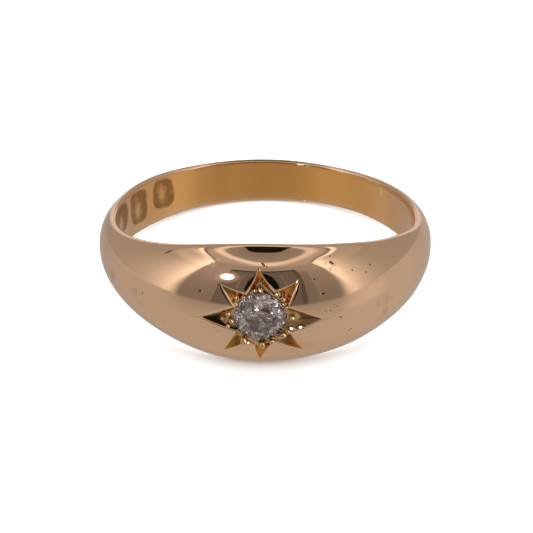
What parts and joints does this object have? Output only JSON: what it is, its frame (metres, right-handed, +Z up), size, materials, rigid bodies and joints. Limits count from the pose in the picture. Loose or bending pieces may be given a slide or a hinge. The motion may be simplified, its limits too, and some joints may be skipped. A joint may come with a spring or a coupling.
{
  "type": "diamond band",
  "caption": "Tapering gold finger ring with a domed head, star-cut and bead-set with a small old-cut diamond, lying on its side.",
  "frame": {"origin": "on the surface it lies on, under the middle of the band", "axes": "+Z up, -Y from the back of the band to the middle of the head with its stone, +X round to the head's right as seen from in front"},
  "size_m": [0.02, 0.0212, 0.0072],
  "materials": {
    "gold": "polished rose-toned yellow gold with fine wear",
    "diamond": "old-cut facets, polished"
  },
  "bodies": {
    "root": {"band": "gold", "diamond": "diamond"}
  },
  "joints": []
}
